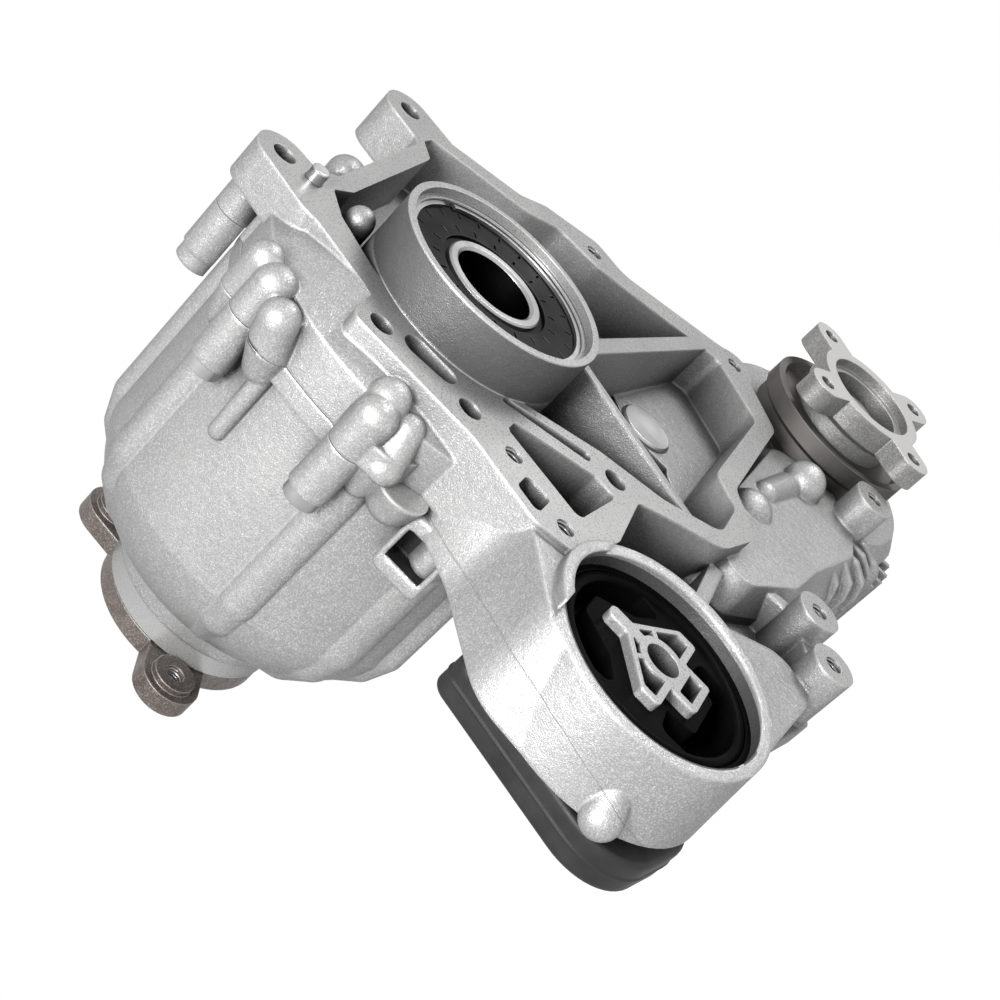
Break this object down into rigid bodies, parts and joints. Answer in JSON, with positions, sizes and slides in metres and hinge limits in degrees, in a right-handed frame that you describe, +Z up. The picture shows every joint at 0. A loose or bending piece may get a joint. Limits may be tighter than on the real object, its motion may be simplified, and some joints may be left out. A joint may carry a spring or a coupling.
{
  "type": "transfer case",
  "caption": "Gear driven transfer case with an open ribbed bell, clutch can, offset front output flange, three armed rear flange and a rubber mount eye.",
  "frame": {"origin": "main shaft axis in the face that bolts to the gearbox", "axes": "+Y runs back along the main shaft, +Z is up, +X is the side of the front output"},
  "size_m": [0.4452, 0.2448, 0.335],
  "materials": {
    "cast_aluminium": "cast",
    "machined_aluminium": "machined",
    "steel": "ground",
    "machined_steel": "machined",
    "dark_steel": "phosphated",
    "oxidised_steel": "oxidised",
    "shield_steel": "passivated",
    "zinc_steel": "zinc plated",
    "rubber": "matte",
    "seal_rubber": "satin",
    "friction_lining": "paper lining"
  },
  "bodies": {
    "case": {"front_housing": "cast_aluminium", "rear_housing": "cast_aluminium", "case_bolts": "zinc_steel", "case_dowels": "steel", "gearbox_dowel": "steel", "oil_plugs": "zinc_steel", "snap_ring": "steel", "slotted_shield": "dark_steel", "input_bearing_outer_race": "steel", "input_bearing_balls": "steel", "rear_bearing_outer_race": "steel", "rear_bearing_balls": "steel", "rear_seal": "seal_rubber", "front_bearing_outer_race": "steel", "front_bearing_balls": "steel", "pocket_bearing_outer_race": "steel", "pocket_bearing_balls": "steel", "front_seal": "seal_rubber", "idler_pin": "steel", "mount_ring": "dark_steel", "mount_rubber": "rubber", "mount_core": "cast_aluminium", "stop_pad": "rubber"},
    "main_rotor": {"main_shaft": "machined_steel", "input_bearing_inner_race": "steel", "clutch_hub": "machined_steel", "lined_clutch_discs": "friction_lining", "rear_bearing_inner_race": "steel", "rear_output_flange": "oxidised_steel", "rear_flange_nut": "zinc_steel"},
    "drive_rotor": {"drive_gear": "machined_steel", "drive_gear_needles": "steel", "clutch_drum": "machined_steel", "steel_clutch_discs": "steel"},
    "pressure_plate": {"pressure_plate": "machined_steel"},
    "piston": {"clutch_piston": "machined_aluminium", "thrust_bearing": "steel"},
    "idler": {"idler_gear": "machined_steel", "idler_rollers": "steel"},
    "front_output": {"front_output_shaft": "machined_steel", "driven_gear": "machined_steel", "front_bearing_inner_race": "steel", "pocket_bearing_inner_race": "steel", "front_output_flange": "machined_steel", "front_flange_nut": "zinc_steel", "dust_shield": "shield_steel"}
  },
  "joints": [
    {"name": "main_shaft_turn", "type": "hinge", "parent": "case", "child": "main_rotor", "pos_m": [0, 0, 0], "axis": [0, 1, 0], "continuous": true},
    {"name": "drive_gear_turn", "type": "hinge", "parent": "case", "child": "drive_rotor", "pos_m": [0, 0, 0], "axis": [0, 1, 0], "continuous": true},
    {"name": "idler_turn", "type": "hinge", "parent": "case", "child": "idler", "pos_m": [0.10372, 0, -0.08641], "axis": [0, 1, 0], "continuous": true},
    {"name": "front_output_turn", "type": "hinge", "parent": "case", "child": "front_output", "pos_m": [0.22, 0, -0.155], "axis": [0, 1, 0], "continuous": true},
    {"name": "piston_slide", "type": "slide", "parent": "case", "child": "piston", "axis": [0, -1, 0], "range_m": [0, 0.002]},
    {"name": "pressure_plate_slide", "type": "slide", "parent": "drive_rotor", "child": "pressure_plate", "axis": [0, -1, 0], "range_m": [0, 0.002]}
  ],
  "couplings": [
    {"joint": "idler_turn", "follows": "drive_gear_turn", "ratio": -0.6875},
    {"joint": "front_output_turn", "follows": "drive_gear_turn", "ratio": 1},
    {"joint": "pressure_plate_slide", "follows": "piston_slide", "ratio": 1}
  ]
}
